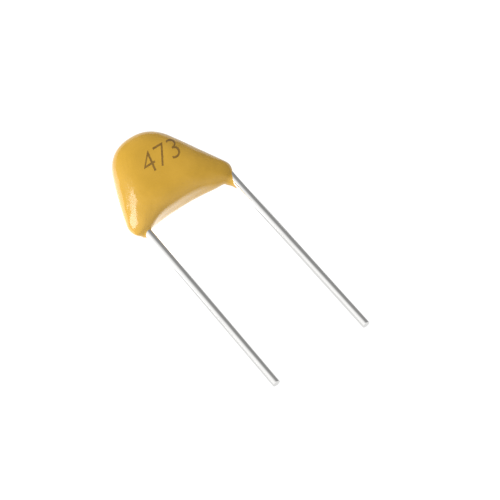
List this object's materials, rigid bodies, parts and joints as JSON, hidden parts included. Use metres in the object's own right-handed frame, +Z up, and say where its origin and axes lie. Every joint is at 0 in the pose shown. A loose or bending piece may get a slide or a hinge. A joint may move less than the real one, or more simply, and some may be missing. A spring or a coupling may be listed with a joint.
{
  "type": "radial-leaded multilayer ceramic capacitor",
  "caption": "Bell-shaped dipped capacitor with a glossy yellow epoxy coat over a layered ceramic chip and straight tinned wire leads.",
  "frame": {"origin": "the middle of the part's box, on the surface that the part lies on", "axes": "+X from the left lead to the right lead, +Y from the lead tips to the crown of the coating, +Z up, out of the marked face"},
  "size_m": [0.006, 0.0146, 0.002],
  "materials": {
    "epoxy": "glossy dipped epoxy, mustard yellow",
    "ceramic": "fired dielectric ceramic, matt",
    "electrode_metal": "fired nickel layer",
    "termination_metal": "fired and plated silver-grey end cap",
    "solder": "reflowed solder, satin",
    "tinned_wire": "bright tinned wire with faint drawing lines"
  },
  "bodies": {
    "root": {"epoxy_coating": "epoxy", "ceramic_chip": "ceramic", "left_electrodes": "electrode_metal", "right_electrodes": "electrode_metal", "left_termination": "termination_metal", "right_termination": "termination_metal", "left_solder": "solder", "right_solder": "solder", "left_lead": "tinned_wire", "right_lead": "tinned_wire"}
  },
  "joints": []
}
